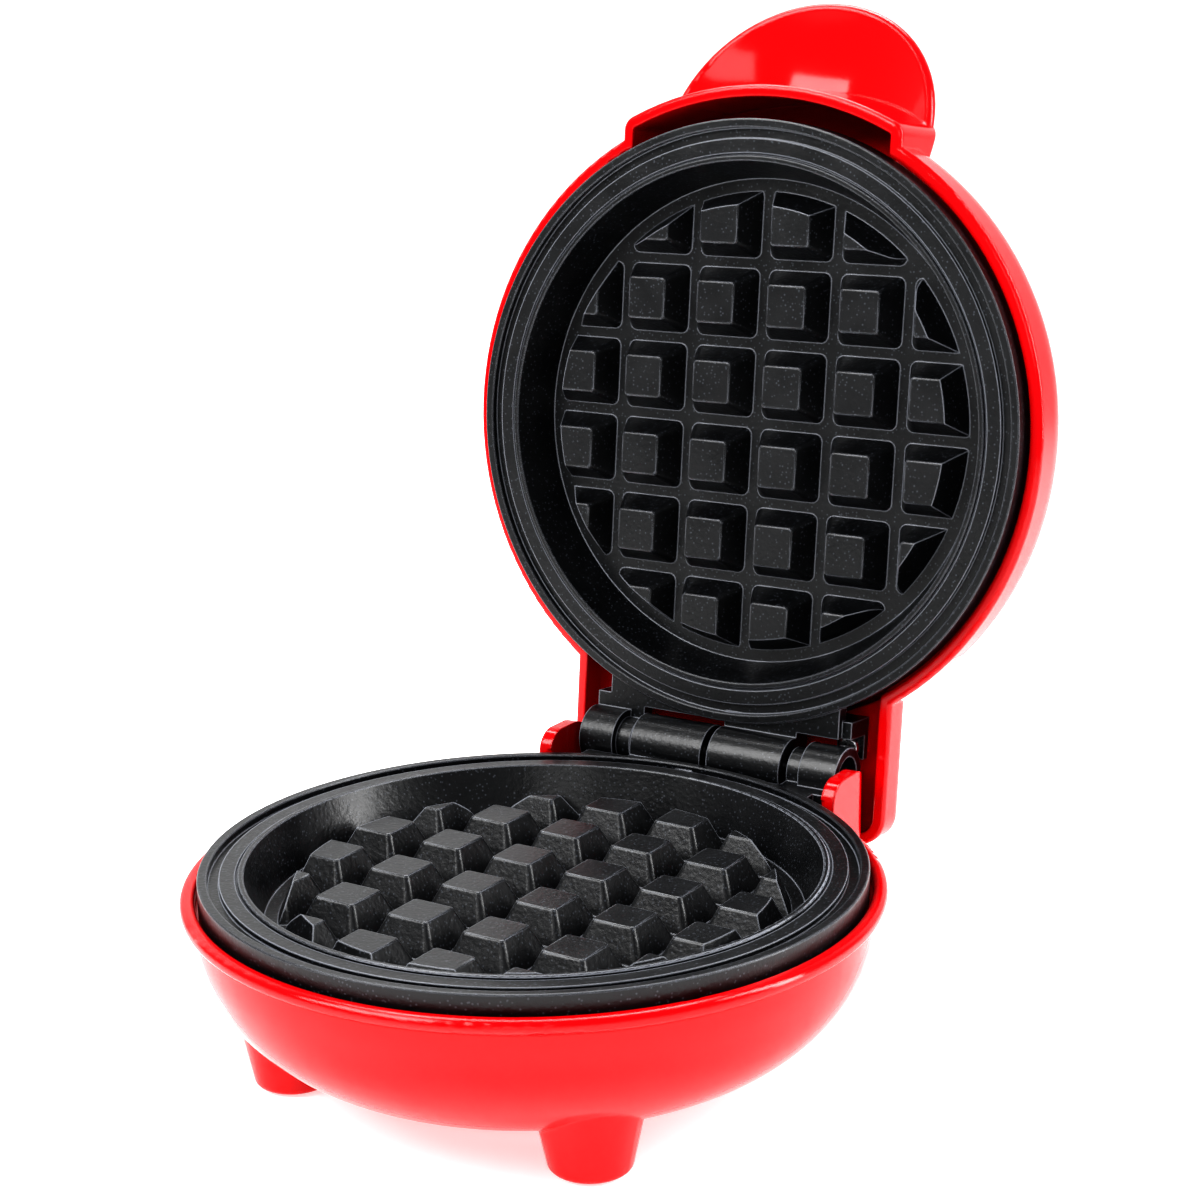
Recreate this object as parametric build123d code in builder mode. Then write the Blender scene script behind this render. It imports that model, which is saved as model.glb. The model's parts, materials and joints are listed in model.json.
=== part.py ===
from build123d import *
import os
from math import asin, cos, radians, sin, sqrt, tan

os.makedirs("parts", exist_ok=True)

# Mini waffle maker, standing open. Millimetres, +Z up, front towards -Y, hinge pin along X.
# Each half is modelled cooking side up, with its plate centred on the origin and the
# plane where the two plates meet at z = 0. It is then placed by base_seat or lid_seat.

# Placement
mating_height = 38.7
plate_y = -26.1
hinge_offset = 7.0
open_angle = 96.0

# Cooking plates, one casting used twice
plate_radius = 60.3
lip_gap = 0.3
outer_lip_width = 1.8
drip_groove_width = 2.0
drip_groove_depth = 1.5
land_width = 2.9
land_drop = 0.45
score_width = 0.4
score_depth = 0.5
inner_lip_width = 1.1
lip_round = 0.3
cavity_depth = 9.6
cavity_wall_run = 11.3
plate_wall = 2.4
plate_floor = 2.6
rim_web = 3.0
skirt_depth = 6.0
skirt_wall = 2.0

# Waffle pattern
pyramid_pitch = 16.0
pyramid_count = 6
pyramid_foot = 13.8
pyramid_top = 8.4
pyramid_height = 5.9
pyramid_corner = 1.5
pyramid_top_corner = 0.8
pyramid_edge_round = 0.5
pyramid_ring_gap = 2.6

# Hinge
knuckle_radius = 6.0
barrel_length = 16.5
barrel_gap = 1.5
knuckle_gap = 1.0
boss_length = 3.3
boss_radius = 4.5
end_knuckle_length = 8.0
counterbore_radius = 4.2
counterbore_depth = 5.0
pin_radius = 1.6
pin_clearance = 0.05
pin_head_radius = 3.2
pin_head_length = 1.4
retainer_radius = 3.6
retainer_length = 1.2
retainer_setback = 0.3
pin_tail = 0.7
leaf_half_width = 26.5
leaf_top = 1.2
leaf_thickness = 3.0
leaf_clearance = 1.0

# Fixings of a plate to its shell
lug_x = 25.6
lug_setback = 4.3
lug_end = 2.4
lug_depth = 9.0
lug_thickness = 1.6
lug_width = 6.0
lug_web = 3.5
small_screw_radius = 1.3
small_screw_head_radius = 2.2
small_screw_head_height = 1.4
small_screw_length = 4.2
screw_clearance = 0.05
drive_span = 1.4
drive_width = 1 / 3
hook_angle = 45.0
hook_width = 8.0
hook_inset = 2.9
hook_wall = 2.0
hook_depth = 11.0
hook_toe = 1.3
hook_toe_height = 1.5
catch_height = 2.2
catch_clearance = 0.3

# Heating parts
element_ring = 33.0
element_radius = 3.25
element_gap_angle = 25.0
element_bend = 7.0
element_tail = 4.0
element_clearance = 0.05
ridge_gap_half_width = 16.7
ridge_width = 1.6
ridge_depth = 3.2
cold_pin_radius = 1.2
cold_pin_length = 5.0
bead_radius = 2.9
bead_length = 1.5
bead_clearance = 0.1
shield_inset = 0.5
shield_thickness = 0.6
shield_lip = 2.4
shield_depth = 19.6
shield_boss_inset = 5.5
shield_boss_radius = 4.0
shield_boss_count = 3
shield_hole_clearance = 0.2
shield_screw_radius = 1.5
shield_screw_head_radius = 2.8
shield_screw_head_height = 1.8
shield_screw_length = 5.0
shield_window = 10.5

# Thermostat, thermal fuse and terminal block
thermostat_cap_radius = 8.0
thermostat_cap_height = 2.5
thermostat_flange_length = 28.0
thermostat_flange_width = 9.0
thermostat_flange_thickness = 0.6
thermostat_body_radius = 7.4
thermostat_body_height = 5.5
thermostat_blade_width = 4.8
thermostat_blade_length = 3.6
thermostat_blade_thickness = 0.8
thermostat_blade_spacing = 8.0
thermostat_screw_spacing = 22.0
thermostat_boss_radius = 2.8
thermostat_screw_length = 3.6
contact_gap = 0.05
fuse_radius = 2.0
fuse_length = 11.0
fuse_x = 0.0
fuse_y = -22.0
fuse_clip_wall = 0.8
fuse_clip_length = 6.0
fuse_clip_foot = 3.0
block_length = 20.0
block_width = 11.0
block_height = 6.0
block_y = 18.0
block_post_height = 1.6
block_post_radius = 2.6
block_screw_spacing = 15.0
block_counterbore = 1.6
block_way_radius = 1.4
block_way_spacing = 6.4
block_screw_length = 6.6
block_edge_round = 1.0
lead_radius = 1.0
lead_end_gap = 0.1
lead_corner_share = 0.45
lead_level = 24.0
lead_turn_setback = 13.3
lead_side_x = 14.0
lead_straight = 4.0
fuse_lead_straight = 6.0
fuse_lead_x = 12.0

# Shells
wall = 2.3
flange_drop = 3.3
rim_width = 2.7
rim_height = 2.6
rim_round = 1.2
shell_edge_round = 0.8
plate_clearance = 0.6
seat_clearance = 0.1
ledge_height = 2.6
rim_overhang = 1.7
bowl_corner = 26.5
bowl_depth = 33.0
label_radius = 20.0
label_recess = 0.5

# Feet
foot_radius = 7.2
foot_flare = 0.21
foot_edge_round = 1.2
foot_blend_height = 14.5
rear_foot_blend_height = 18.0
front_foot_x = 31.5
front_foot_y = -31.8
rear_foot_x = 28.0
rear_foot_y = 45.0
pad_radius = 4.6
pad_height = 1.6
pad_stand = 0.4
pad_clearance = 0.1

# Hinge housing and ears of the base
ear_inner = 31.0
ear_thickness = 2.8
ear_front_setback = 14.6
ear_height = 3.4
ear_back_overhang = 0.7
ear_front_round = 4.5
ear_back_round = 6.0
housing_bottom = 29.5
housing_corner = 4.0
housing_front_setback = 27.3
housing_under_round = 2.8
housing_wall_top = 7.2
stop_x = 20.0
stop_width = 5.0
stop_height = 4.5
stop_clearance = 0.3
gland_x = 16.0
gland_depth = 21.4
gland_radius = 3.9
gland_bore = 2.9
gland_flange_radius = 5.2
gland_flange_thickness = 1.5
gland_snap = 0.5
gland_snap_length = 1.6

# Lid dome, hinge box, handle root and scoop
dome_side = 9.5
dome_shoulder = 14.0
crown_angle = 16.0
box_overhang = 14.2
arm_clearance = 0.3
box_depth = 13.5
box_corner = 6.0
box_edge_round = 5.0
root_half_width = 31.0
root_overhang = 3.4
root_length = 18.6
root_corner = 3.0
scoop_setback = 5.2
scoop_depth = 18.4
scoop_tilt = 25.5
scoop_radius = 28.0
scoop_dish = 9.0
lens_y = -18.0
lens_radius = 2.8
lens_flange_radius = 4.0
lens_seat = 0.3
lens_dome = 0.8
lens_edge = 0.6
lens_clearance = 0.1
lamp_radius = 1.7
lamp_length = 9.0
lamp_gap = 0.3
lamp_level = 23.4
holder_radius = 4.4
holder_length = 5.4
holder_roof = 0.6
lamp_lead_x = 4.0
lamp_lead_turn_y = 50.5

# Worked out from the sizes above
half_gap = lip_gap / 2
hinge_reach = plate_radius + hinge_offset
cavity_floor_radius = plate_radius - cavity_wall_run
pyramid_ring = cavity_floor_radius - pyramid_ring_gap
hook_radius = plate_radius - hook_inset
shield_radius = cavity_floor_radius - shield_inset
shield_boss_ring = shield_radius - shield_boss_inset
seat_radius = plate_radius + plate_clearance
rim_radius = seat_radius + rim_width
bowl_radius = rim_radius - rim_overhang
lug_y = hinge_reach - lug_setback
lead_turn_y = hinge_reach - lead_turn_setback
ear_front = hinge_reach - ear_front_setback
ear_back = hinge_reach + ear_back_overhang
housing_front = hinge_reach - housing_front_setback
box_reach = hinge_reach + box_overhang
root_radius = rim_radius + root_overhang
root_back = rim_radius - root_length
scoop_reach = rim_radius - scoop_setback
floor_z = -cavity_depth
underside_z = floor_z - plate_floor
pyramid_top_z = floor_z + pyramid_height
leaf_reach = hinge_reach - knuckle_radius - leaf_clearance
barrel_start = barrel_gap / 2
barrel_end = barrel_start + barrel_length
boss_start = barrel_end + knuckle_gap
end_knuckle_start = boss_start + boss_length
end_knuckle_end = end_knuckle_start + end_knuckle_length
hinge_point = (hinge_reach, 0)
hinge_bore = pin_radius + pin_clearance
seat_z = -skirt_depth - seat_clearance
element_z = underside_z - element_radius - element_clearance
shield_z = -shield_depth
box_half_width = ear_inner + ear_thickness + arm_clearance + wall
bowl_inner_z = -bowl_depth + wall
foot_z = -mating_height + pad_stand
shoulder_end_radius = rim_radius - dome_shoulder * (1 - sin(radians(crown_angle)))
shoulder_end_depth = dome_side + dome_shoulder * cos(radians(crown_angle))
crown_radius = shoulder_end_radius / sin(radians(crown_angle))
crown_depth = shoulder_end_depth + crown_radius * (1 - cos(radians(crown_angle)))
lens_low_radius = abs(lens_y) + lens_flange_radius
lens_seat_z = crown_radius - crown_depth + lens_seat - sqrt(crown_radius ** 2 - lens_low_radius ** 2)
scoop_sphere = (scoop_radius ** 2 + scoop_dish ** 2) / (2 * scoop_dish)
cap_z = underside_z - contact_gap
flange_z = cap_z - thermostat_cap_height
body_z = flange_z - thermostat_flange_thickness
blade_z = body_z - thermostat_body_height
block_z = bowl_inner_z + block_post_height
way_z = block_z + block_height / 2
shield_under = shield_z - shield_thickness
fuse_z = shield_under - fuse_radius - contact_gap
stem_top_z = -lamp_level - lamp_radius - lamp_gap
box_wall_reach = box_reach - hinge_reach
stop_lean = radians(open_angle)
stop_face = hinge_reach + box_wall_reach * cos(stop_lean) + flange_drop * sin(stop_lean) - stop_clearance
stop_z = flange_drop * cos(stop_lean) - (box_wall_reach - wall / 2) * sin(stop_lean)
screw_hole_radius = small_screw_radius + screw_clearance
hook_start = -90 - hook_angle
thermostat_blade = (thermostat_blade_thickness, thermostat_blade_width, thermostat_blade_length)
front_low = (Align.CENTER, Align.MIN, Align.MIN)
low_centre = (Align.CENTER, Align.CENTER, Align.MIN)
high_centre = (Align.CENTER, Align.CENTER, Align.MAX)

# Where each half goes: the lid is the base's frame turned over, then swung open about the pin
base_seat = Plane((0, plate_y, mating_height))
hinge_place = Location((0, plate_y + hinge_reach, mating_height))
closed_lid = Plane(origin=(0, plate_y, mating_height), x_dir=(-1, 0, 0), z_dir=(0, 0, -1))
opening = hinge_place * Rotation(-open_angle, 0, 0) * hinge_place.inverse()
lid_seat = Plane(opening * closed_lid.location)

# The scoop's rim plane, tilted up towards the front of the closed lid
scoop_lean = radians(scoop_tilt)
scoop_plane = Plane(
    origin=(0, -scoop_reach, -scoop_depth),
    x_dir=(1, 0, 0),
    z_dir=(0, sin(scoop_lean), -cos(scoop_lean)),
)


def waffle_pyramid():
    """One pyramid with its foot on the cavity floor."""
    with BuildPart() as pyramid:
        with BuildSketch(Plane.XY.offset(floor_z)):
            RectangleRounded(pyramid_foot, pyramid_foot, pyramid_corner)
        with BuildSketch(Plane.XY.offset(pyramid_top_z)):
            RectangleRounded(pyramid_top, pyramid_top, pyramid_top_corner)
        loft()
        fillet(pyramid.faces().sort_by(Axis.Z)[-1].edges(), pyramid_edge_round)
    return pyramid.part


def waffle_field():
    """A square grid of pyramids without its corners, trimmed to a cone inside the cavity wall."""
    slope = (pyramid_foot - pyramid_top) / 2
    last = (pyramid_count - 1) / 2
    steps = [i - last for i in range(pyramid_count)]
    kept = [(i, j) for i in steps for j in steps if abs(i) + abs(j) < 2 * last]
    places = [(i * pyramid_pitch, j * pyramid_pitch) for i, j in kept]
    with BuildPart() as field:
        with Locations(*places):
            add(waffle_pyramid())
        with Locations((0, 0, floor_z)):
            Cone(pyramid_ring, pyramid_ring - slope, pyramid_height, align=low_centre, mode=Mode.INTERSECT)
    return field.part


def hinge_knuckle(x_start, length, radius):
    """A stretch of hinge barrel with the web that joins it to the leaf."""
    web_bottom = knuckle_radius - radius / 2
    with BuildPart() as knuckle:
        with BuildSketch(Plane.YZ.offset(x_start)):
            with Locations(hinge_point):
                Circle(radius)
            with Locations(((plate_radius + hinge_reach) / 2 - 1, -(leaf_top + radius) / 2)):
                Rectangle(hinge_reach - plate_radius + 2, radius - leaf_top)
        extrude(amount=length)
    return knuckle.part


def plate_body():
    """The turned part of the casting: cavity, lips, grooves and skirt."""
    lip_z = -half_gap
    land_z = lip_z - land_drop
    groove_outer = plate_radius - outer_lip_width
    land_outer = groove_outer - drip_groove_width
    land_inner = land_outer - land_width
    score_inner = land_inner - score_width
    cavity_radius = score_inner - inner_lip_width
    with BuildPart() as body:
        with BuildSketch(Plane.XZ) as section:
            with BuildLine():
                Polyline(
                    (0, underside_z),
                    (cavity_floor_radius + plate_wall / 2, underside_z),
                    (cavity_radius + plate_wall, -rim_web - half_gap),
                    (plate_radius - skirt_wall, -rim_web - half_gap),
                    (plate_radius - skirt_wall, -skirt_depth),
                    (plate_radius, -skirt_depth),
                    (plate_radius, lip_z),
                    (groove_outer, lip_z),
                    (groove_outer, lip_z - drip_groove_depth),
                    (land_outer, lip_z - drip_groove_depth),
                    (land_outer, land_z),
                    (land_inner, land_z),
                    (land_inner, land_z - score_depth),
                    (score_inner, land_z - score_depth),
                    (score_inner, lip_z),
                    (cavity_radius, lip_z),
                    (cavity_floor_radius, floor_z),
                    (0, floor_z),
                    close=True,
                )
            make_face()
            lips = section.vertices().filter_by(lambda v: v.Y > lip_z - score_depth / 2)
            fillet(lips, lip_round)
        revolve(axis=Axis.Z)
    return body.part


def cooking_plate():
    """The whole casting, cooking face up: pyramids, hinge knuckles, lug, hooks, ridges and bosses."""
    leaf_root = plate_radius - outer_lip_width
    hook_toe_z = -hook_depth
    with BuildPart() as plate:
        add(plate_body())
        add(waffle_field())
        with BuildSketch(Plane.XY.offset(-leaf_top)):
            with Locations((0, leaf_reach / 2)):
                Rectangle(2 * leaf_half_width, leaf_reach)
            Circle(leaf_root, mode=Mode.SUBTRACT)
        extrude(amount=-leaf_thickness)
        add(hinge_knuckle(-barrel_end, barrel_length, knuckle_radius))
        add(hinge_knuckle(boss_start, boss_length, boss_radius))
        add(hinge_knuckle(end_knuckle_start, end_knuckle_length, knuckle_radius))
        with BuildSketch(Plane.YZ.offset(-barrel_end - 1)):
            with Locations(hinge_point):
                Circle(hinge_bore)
        extrude(amount=barrel_end + end_knuckle_end + 2, mode=Mode.SUBTRACT)
        with BuildSketch(Plane.YZ.offset(end_knuckle_end)):
            with Locations(hinge_point):
                Circle(counterbore_radius)
        extrude(amount=-counterbore_depth, mode=Mode.SUBTRACT)

        # Lug that the shell's screw holds, on the side without an end knuckle
        with BuildSketch(Plane.YZ.offset(-lug_x - lug_width / 2)):
            with BuildLine():
                Polyline(
                    (leaf_reach - lug_web, -leaf_top - leaf_thickness / 2),
                    (leaf_reach, -leaf_top - leaf_thickness / 2),
                    (leaf_reach, -lug_depth),
                    (lug_y + lug_end, -lug_depth),
                    (lug_y + lug_end, -lug_depth - lug_thickness),
                    (leaf_reach - lug_web, -lug_depth - lug_thickness),
                    close=True,
                )
            make_face()
        extrude(amount=lug_width)
        with Locations((-lug_x, lug_y, -lug_depth)):
            Cylinder(screw_hole_radius, 2 * lug_thickness, align=high_centre, mode=Mode.SUBTRACT)

        # Hooks that reach under the shell's catches
        with PolarLocations(hook_radius - hook_wall / 2, 2, start_angle=hook_start, angular_range=4 * hook_angle):
            with Locations((0, 0, -rim_web)):
                Box(hook_wall, hook_width, hook_depth - rim_web, align=high_centre)
            with Locations(((hook_wall + hook_toe) / 2, 0, hook_toe_z)):
                Box(hook_toe, hook_width, hook_toe_height, align=low_centre)

        # Two ridges hold the heating tube, left open where its ends turn away
        with BuildSketch(Plane.XY.offset(underside_z)) as ridges:
            inner_side = element_ring - element_radius - element_clearance
            outer_side = element_ring + element_radius + element_clearance
            Circle(outer_side + ridge_width)
            Circle(outer_side, mode=Mode.SUBTRACT)
            Circle(inner_side)
            Circle(inner_side - ridge_width, mode=Mode.SUBTRACT)
            with Locations((0, outer_side)):
                Rectangle(2 * ridge_gap_half_width, outer_side, mode=Mode.SUBTRACT)
        extrude(amount=-ridge_depth)
        with PolarLocations(shield_boss_ring, shield_boss_count, start_angle=-90):
            with Locations((0, 0, shield_z)):
                Cylinder(shield_boss_radius, plate_floor / 2 + underside_z - shield_z, align=low_centre)
                Cylinder(
                    shield_screw_radius + screw_clearance,
                    shield_screw_length + 1,
                    align=low_centre,
                    mode=Mode.SUBTRACT,
                )
        with GridLocations(thermostat_screw_spacing, 0, 2, 1):
            with Locations((0, 0, flange_z)):
                Cylinder(thermostat_boss_radius, underside_z - flange_z + plate_floor / 2, align=low_centre)
                Cylinder(
                    small_screw_radius + screw_clearance,
                    small_screw_length,
                    align=low_centre,
                    mode=Mode.SUBTRACT,
                )
    return plate.part


def rim_ring():
    """The rolled rim round a shell, with the recess that the plate's skirt drops into."""
    with BuildPart() as ring:
        with BuildSketch(Plane.XZ) as section:
            with Locations(((seat_radius + rim_radius) / 2 - wall, -flange_drop - rim_height / 2)):
                Rectangle(rim_radius - seat_radius + 2 * wall, rim_height)
            fillet(section.vertices().group_by(Axis.X)[-1], rim_round)
        revolve(axis=Axis.Z)
    return ring.part


def plate_recess():
    """The room for the plate's skirt, down to the ledge that it stands on, with a rounded mouth."""
    mouth = seat_radius + shell_edge_round
    throat_z = -flange_drop - shell_edge_round
    with BuildPart() as recess:
        with BuildSketch(Plane.XZ):
            with BuildLine():
                Polyline((seat_radius, throat_z), (seat_radius, seat_z), (0, seat_z), (0, 0))
                Polyline((0, 0), (mouth, 0), (mouth, -flange_drop))
                RadiusArc((seat_radius, throat_z), (mouth, -flange_drop), shell_edge_round)
            make_face()
        revolve(axis=Axis.Z)
    return recess.part


def hook_catches():
    """Ribs inside a shell that hold the plate's hooks down at the front."""
    rib_inner = hook_radius + catch_clearance
    rib_outer = bowl_radius - wall / 2
    rib_bottom = -hook_depth + hook_toe_height + catch_clearance
    with BuildPart() as catches:
        with PolarLocations((rib_inner + rib_outer) / 2, 2, start_angle=hook_start, angular_range=4 * hook_angle):
            with Locations((0, 0, rib_bottom)):
                Box(rib_outer - rib_inner, hook_width, catch_height, align=low_centre)
    return catches.part


def screw_post(height_from):
    """The post that the plate's screw bites, from height_from up to the lug."""
    lug_under = -lug_depth - lug_thickness - seat_clearance
    with BuildPart() as post:
        with Locations((-lug_x, lug_y, height_from)):
            Cylinder(lug_width / 2, lug_under - height_from, align=low_centre)
    return post.part


def screw_hole():
    """The hole for the plate's screw in its post."""
    lug_under = -lug_depth - lug_thickness - seat_clearance
    with BuildPart() as hole:
        with Locations((-lug_x, lug_y, lug_under)):
            Cylinder(screw_hole_radius, small_screw_length - lug_thickness, align=high_centre)
    return hole.part


def bowl(inset):
    """The base's bowl as a solid, inset from its outer face."""
    radius = bowl_radius - inset
    corner = bowl_corner - inset
    bottom = -bowl_depth + inset
    with BuildPart() as body:
        with BuildSketch(Plane.XZ):
            with BuildLine():
                Line((0, seat_z), (radius, seat_z))
                Line((radius, seat_z), (radius, bottom + corner))
                RadiusArc((radius, bottom + corner), (radius - corner, bottom), corner)
                Line((radius - corner, bottom), (0, bottom))
                Line((0, bottom), (0, seat_z))
            make_face()
        revolve(axis=Axis.Z)
    return body.part


def foot(height, inset):
    """A flared round foot about the origin's Z axis, standing on foot_z, inset from its outer face."""
    bottom = foot_radius - inset
    start = foot_z + inset
    with BuildPart() as leg:
        with Locations((0, 0, start)):
            Cone(bottom + foot_flare * inset, bottom + foot_flare * height, height - inset, align=low_centre)
        if inset == 0:
            fillet(leg.edges().sort_by(Axis.Z)[0], foot_edge_round)
    return leg.part


foot_places = [
    (-front_foot_x, front_foot_y, foot_blend_height),
    (front_foot_x, front_foot_y, foot_blend_height),
    (-rear_foot_x, rear_foot_y, rear_foot_blend_height),
    (rear_foot_x, rear_foot_y, rear_foot_blend_height),
]


def hinge_housing():
    """The block behind the bowl that carries the ears: its plan crossed with its side view."""
    ear_outer = ear_inner + ear_thickness
    with BuildPart() as block:
        with BuildSketch(Plane.XY.offset(-mating_height)) as plan:
            with Locations((0, (housing_front + ear_back) / 2)):
                Rectangle(2 * ear_outer, ear_back - housing_front)
            fillet(plan.vertices().group_by(Axis.Y)[-1], housing_corner)
        extrude(amount=mating_height + ear_height + 1)
        with BuildSketch(Plane.YZ) as side:
            with BuildLine():
                Polyline(
                    (housing_front - 1, -flange_drop - rim_height),
                    (ear_front, -flange_drop - rim_height),
                    (ear_front, ear_height),
                    (ear_back, ear_height),
                    (ear_back, -housing_bottom),
                    (housing_front - 1, -housing_bottom),
                    close=True,
                )
            make_face()
            top = side.vertices().group_by(Axis.Y)[-1].sort_by(Axis.X)
            fillet(top[0], ear_front_round)
            fillet(side.vertices().group_by(Axis.Y)[-1].sort_by(Axis.X)[-1], ear_back_round)
            fillet(side.vertices().group_by(Axis.Y)[0].sort_by(Axis.X)[-1], housing_under_round)
        extrude(amount=ear_outer + 1, both=True, mode=Mode.INTERSECT)
    return block.part


def base_casing():
    """The base shell: bowl, rim, feet and hinge housing, hollowed, with its posts and ribs."""
    back_inner = ear_back - wall
    with BuildPart() as casing:
        add(bowl(0))
        add(rim_ring())
        add(hinge_housing())
        for x, y, height in foot_places:
            with Locations((x, y, 0)):
                add(foot(height, 0))
        with Locations((0, 0, -bowl_depth)):
            Cylinder(label_radius, label_recess, align=low_centre, mode=Mode.SUBTRACT)
        add(bowl(wall), mode=Mode.SUBTRACT)
        for x, y, height in foot_places:
            with Locations((x, y, 0)):
                add(foot(height, wall), mode=Mode.SUBTRACT)
        with BuildSketch(Plane.XY.offset(-housing_bottom + wall)) as inside:
            with Locations((0, (element_ring + back_inner) / 2)):
                Rectangle(2 * ear_inner, back_inner - element_ring)
            fillet(inside.vertices().group_by(Axis.Y)[-1], housing_corner - wall)
        extrude(amount=housing_bottom + ear_height, mode=Mode.SUBTRACT)
        with Locations((0, leaf_reach, -housing_wall_top)):
            Box(2 * ear_inner, ear_back, mating_height, align=front_low, mode=Mode.SUBTRACT)
        add(plate_recess(), mode=Mode.SUBTRACT)
        add(hook_catches())
        add(screw_post(-housing_bottom + wall / 2))
        add(screw_hole(), mode=Mode.SUBTRACT)
        stop_reach = stop_face - ear_back
        with Locations((-stop_x, ear_back, stop_z), (stop_x, ear_back, stop_z)):
            Box(stop_width, stop_reach, stop_height, align=(Align.CENTER, Align.MIN, Align.CENTER))
        with GridLocations(block_screw_spacing, 0, 2, 1):
            with Locations((0, block_y, -bowl_depth + wall / 2)):
                Cylinder(block_post_radius, block_z - bowl_inner_z + wall / 2, align=low_centre)
            with Locations((0, block_y, block_z)):
                Cylinder(
                    small_screw_radius + screw_clearance,
                    block_screw_length - block_height + block_counterbore,
                    align=high_centre,
                    mode=Mode.SUBTRACT,
                )
        for x, y, _ in foot_places:
            with Locations((x, y, foot_z)):
                pocket_depth = pad_height - pad_stand
                Cylinder(pad_radius + pad_clearance, pocket_depth, align=low_centre, mode=Mode.SUBTRACT)
        with BuildSketch(Plane.XZ.offset(-ear_back - 1)):
            with Locations((gland_x, -gland_depth)):
                Circle(gland_radius + contact_gap)
        extrude(amount=wall + 2, mode=Mode.SUBTRACT)
    return casing.part


def dome(inset):
    """The lid's dome as a solid, inset from its outer face: a straight side, a shoulder and a crown."""
    radius = rim_radius - inset
    shoulder = dome_shoulder - inset
    top = seat_z if inset else -flange_drop
    with BuildPart() as body:
        with BuildSketch(Plane.XZ) as section:
            with BuildLine():
                Line((0, top), (radius, top))
                side = Line((radius, top), (radius, -dome_side))
                round_off = JernArc(side @ 1, side % 1, shoulder, -(90 - crown_angle))
                crown = JernArc(round_off @ 1, round_off % 1, crown_radius - inset, -crown_angle)
                Line(crown @ 1, (0, top))
            make_face()
            if inset == 0:
                fillet(section.vertices().group_by(Axis.Y)[-1].sort_by(Axis.X)[-1], shell_edge_round)
        revolve(axis=Axis.Z)
    return body.part


def scoop_ball(radius):
    """A ball about the centre that the scoop's dished face is struck from."""
    with BuildPart() as ball:
        with Locations(scoop_plane.offset(scoop_dish - scoop_sphere).location):
            Sphere(radius)
    return ball.part


def scoop_dish_shell():
    """The dished visor: a thin slice of the ball, rounded along its edge, with the hollow facing down."""
    edge_angle = asin(scoop_radius / scoop_sphere)
    outer = scoop_sphere + wall
    middle = scoop_sphere + wall / 2
    drop = scoop_sphere - scoop_dish
    reach = middle * sin(edge_angle) + wall / 2 * cos(edge_angle)
    height = middle * cos(edge_angle) - wall / 2 * sin(edge_angle) - drop
    half = edge_angle / 2
    with BuildPart() as dish:
        with BuildSketch(Plane(scoop_plane.origin, x_dir=scoop_plane.x_dir, z_dir=-scoop_plane.y_dir)):
            with BuildLine():
                inner_end = (scoop_radius, 0)
                outer_end = (outer * sin(edge_angle), outer * cos(edge_angle) - drop)
                ThreePointArc(
                    (0, scoop_dish), (scoop_sphere * sin(half), scoop_sphere * cos(half) - drop), inner_end
                )
                ThreePointArc(inner_end, (reach, height), outer_end)
                ThreePointArc(outer_end, (outer * sin(half), outer * cos(half) - drop), (0, outer - drop))
                Line((0, outer - drop), (0, scoop_dish))
            make_face()
        revolve(axis=Axis(scoop_plane.origin, scoop_plane.z_dir))
    return dish.part


def handle_root(inset):
    """The stepped-out root of the handle, roofed by the scoop's ball, inset from its outer face."""
    half_width = root_half_width - inset
    top = -flange_drop if inset == 0 else 0
    with BuildPart() as root:
        with BuildSketch(Plane.XY.offset(top)) as plan:
            with Locations((0, -root_back)):
                Rectangle(2 * half_width, root_radius, align=(Align.CENTER, Align.MAX))
            Circle(root_radius - inset, mode=Mode.INTERSECT)
            fillet(plan.vertices().group_by(Axis.Y)[0], root_corner - inset)
        extrude(amount=-mating_height)
        add(scoop_ball(scoop_sphere + wall - inset), mode=Mode.INTERSECT)
        if inset == 0:
            fillet(root.faces().sort_by(Axis.Z)[-1].edges(), shell_edge_round)
    return root.part


def hinge_box(inset):
    """The low box behind the dome that closes over the hinge, inset from its outer face."""
    half_width = box_half_width - inset
    reach = box_reach - inset
    top = -flange_drop if inset == 0 else 0
    with BuildPart() as box:
        with BuildSketch(Plane.XY.offset(top)) as plan:
            with Locations((0, (housing_front + reach) / 2)):
                Rectangle(2 * half_width, reach - housing_front)
            fillet(plan.vertices().group_by(Axis.Y)[-1], box_corner - inset)
        extrude(amount=-box_depth + inset - top)
        low_edges = box.faces().sort_by(Axis.Z)[0].edges()
        fillet(low_edges.sort_by(Axis.Y)[1:], box_edge_round - inset)
        if inset == 0:
            fillet(box.faces().sort_by(Axis.Z)[-1].edges(), shell_edge_round)
    return box.part


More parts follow.
